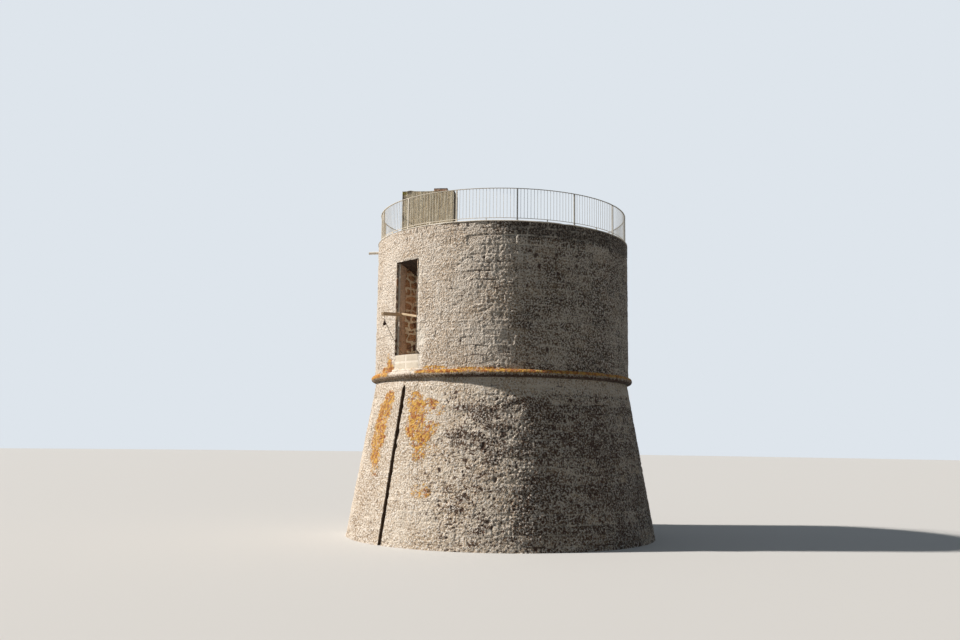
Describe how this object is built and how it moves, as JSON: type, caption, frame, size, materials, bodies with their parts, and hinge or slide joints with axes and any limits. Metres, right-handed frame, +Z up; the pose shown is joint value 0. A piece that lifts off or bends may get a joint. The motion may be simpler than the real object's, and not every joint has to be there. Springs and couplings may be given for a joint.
{
  "type": "martello tower",
  "caption": "Round masonry coastal watchtower with battered base, cordon, high doorway with hoist jib, railed roof terrace and stair head.",
  "frame": {"origin": "middle of the base, on the ground", "axes": "+Z up; the doorway faces -Y; +X is to the right of someone who faces the doorway from outside"},
  "size_m": [9.96, 9.9591, 11.15],
  "materials": {
    "base_masonry": "weathered, pitted",
    "cordon_stone": "weathered, patched with mortar",
    "drum_masonry": "weathered, pitted",
    "new_block": "fresh sawn",
    "floor_paving": "worn",
    "vault_masonry": "rough",
    "terrace_floor": "lime screed",
    "coping_mortar": "lime mortar",
    "stair_head_render": "stained render",
    "cap_stone": "weathered",
    "rail_steel": "galvanised, dull",
    "spout_plastic": "faded",
    "weathered_timber": "grey, split",
    "pale_timber": "bleached",
    "hoist_iron": "rusted",
    "sheave_wood": "worn",
    "rope": "laid hemp"
  },
  "bodies": {
    "tower": {"battered_base": "base_masonry", "cordon": "cordon_stone", "drum_wall_1": "drum_masonry", "drum_wall_2": "drum_masonry", "drum_wall_3": "drum_masonry", "drum_wall_4": "drum_masonry", "drum_wall_5": "drum_masonry", "drum_wall_6": "drum_masonry", "drum_wall_7": "drum_masonry", "door_jamb_left": "drum_masonry", "door_jamb_right": "drum_masonry", "door_head": "drum_masonry", "door_sill": "drum_masonry", "sill_blocks": "new_block", "chamber_floor": "floor_paving", "vault_front": "vault_masonry", "vault_back": "vault_masonry", "roof_deck": "terrace_floor", "kerb": "drum_masonry", "coping": "coping_mortar", "stair_head_walls": "stair_head_render", "stair_head_roof": "stair_head_render", "stair_head_cap": "cap_stone", "railing_panel_1": "rail_steel", "railing_panel_2": "rail_steel", "railing_panel_3": "rail_steel", "railing_panel_4": "rail_steel", "railing_panel_5": "rail_steel", "railing_panel_6": "rail_steel", "railing_panel_7": "rail_steel", "railing_panel_8": "rail_steel", "railing_panel_9": "rail_steel", "railing_panel_10": "rail_steel", "railing_panel_11": "rail_steel", "railing_panel_12": "rail_steel", "railing_panel_13": "rail_steel", "railing_panel_14": "rail_steel", "waterspout": "spout_plastic", "jib": "weathered_timber", "crossbar": "pale_timber", "pulley_block": "hoist_iron", "rope_eye": "hoist_iron", "hoist_rope": "rope"},
    "sheave": {"pulley_sheave": "sheave_wood"}
  },
  "joints": [
    {"name": "sheave_spin", "type": "hinge", "parent": "tower", "child": "sheave", "pos_m": [-0.2205, -4.8403, 6.5406], "axis": [1, 0, 0], "continuous": true}
  ]
}
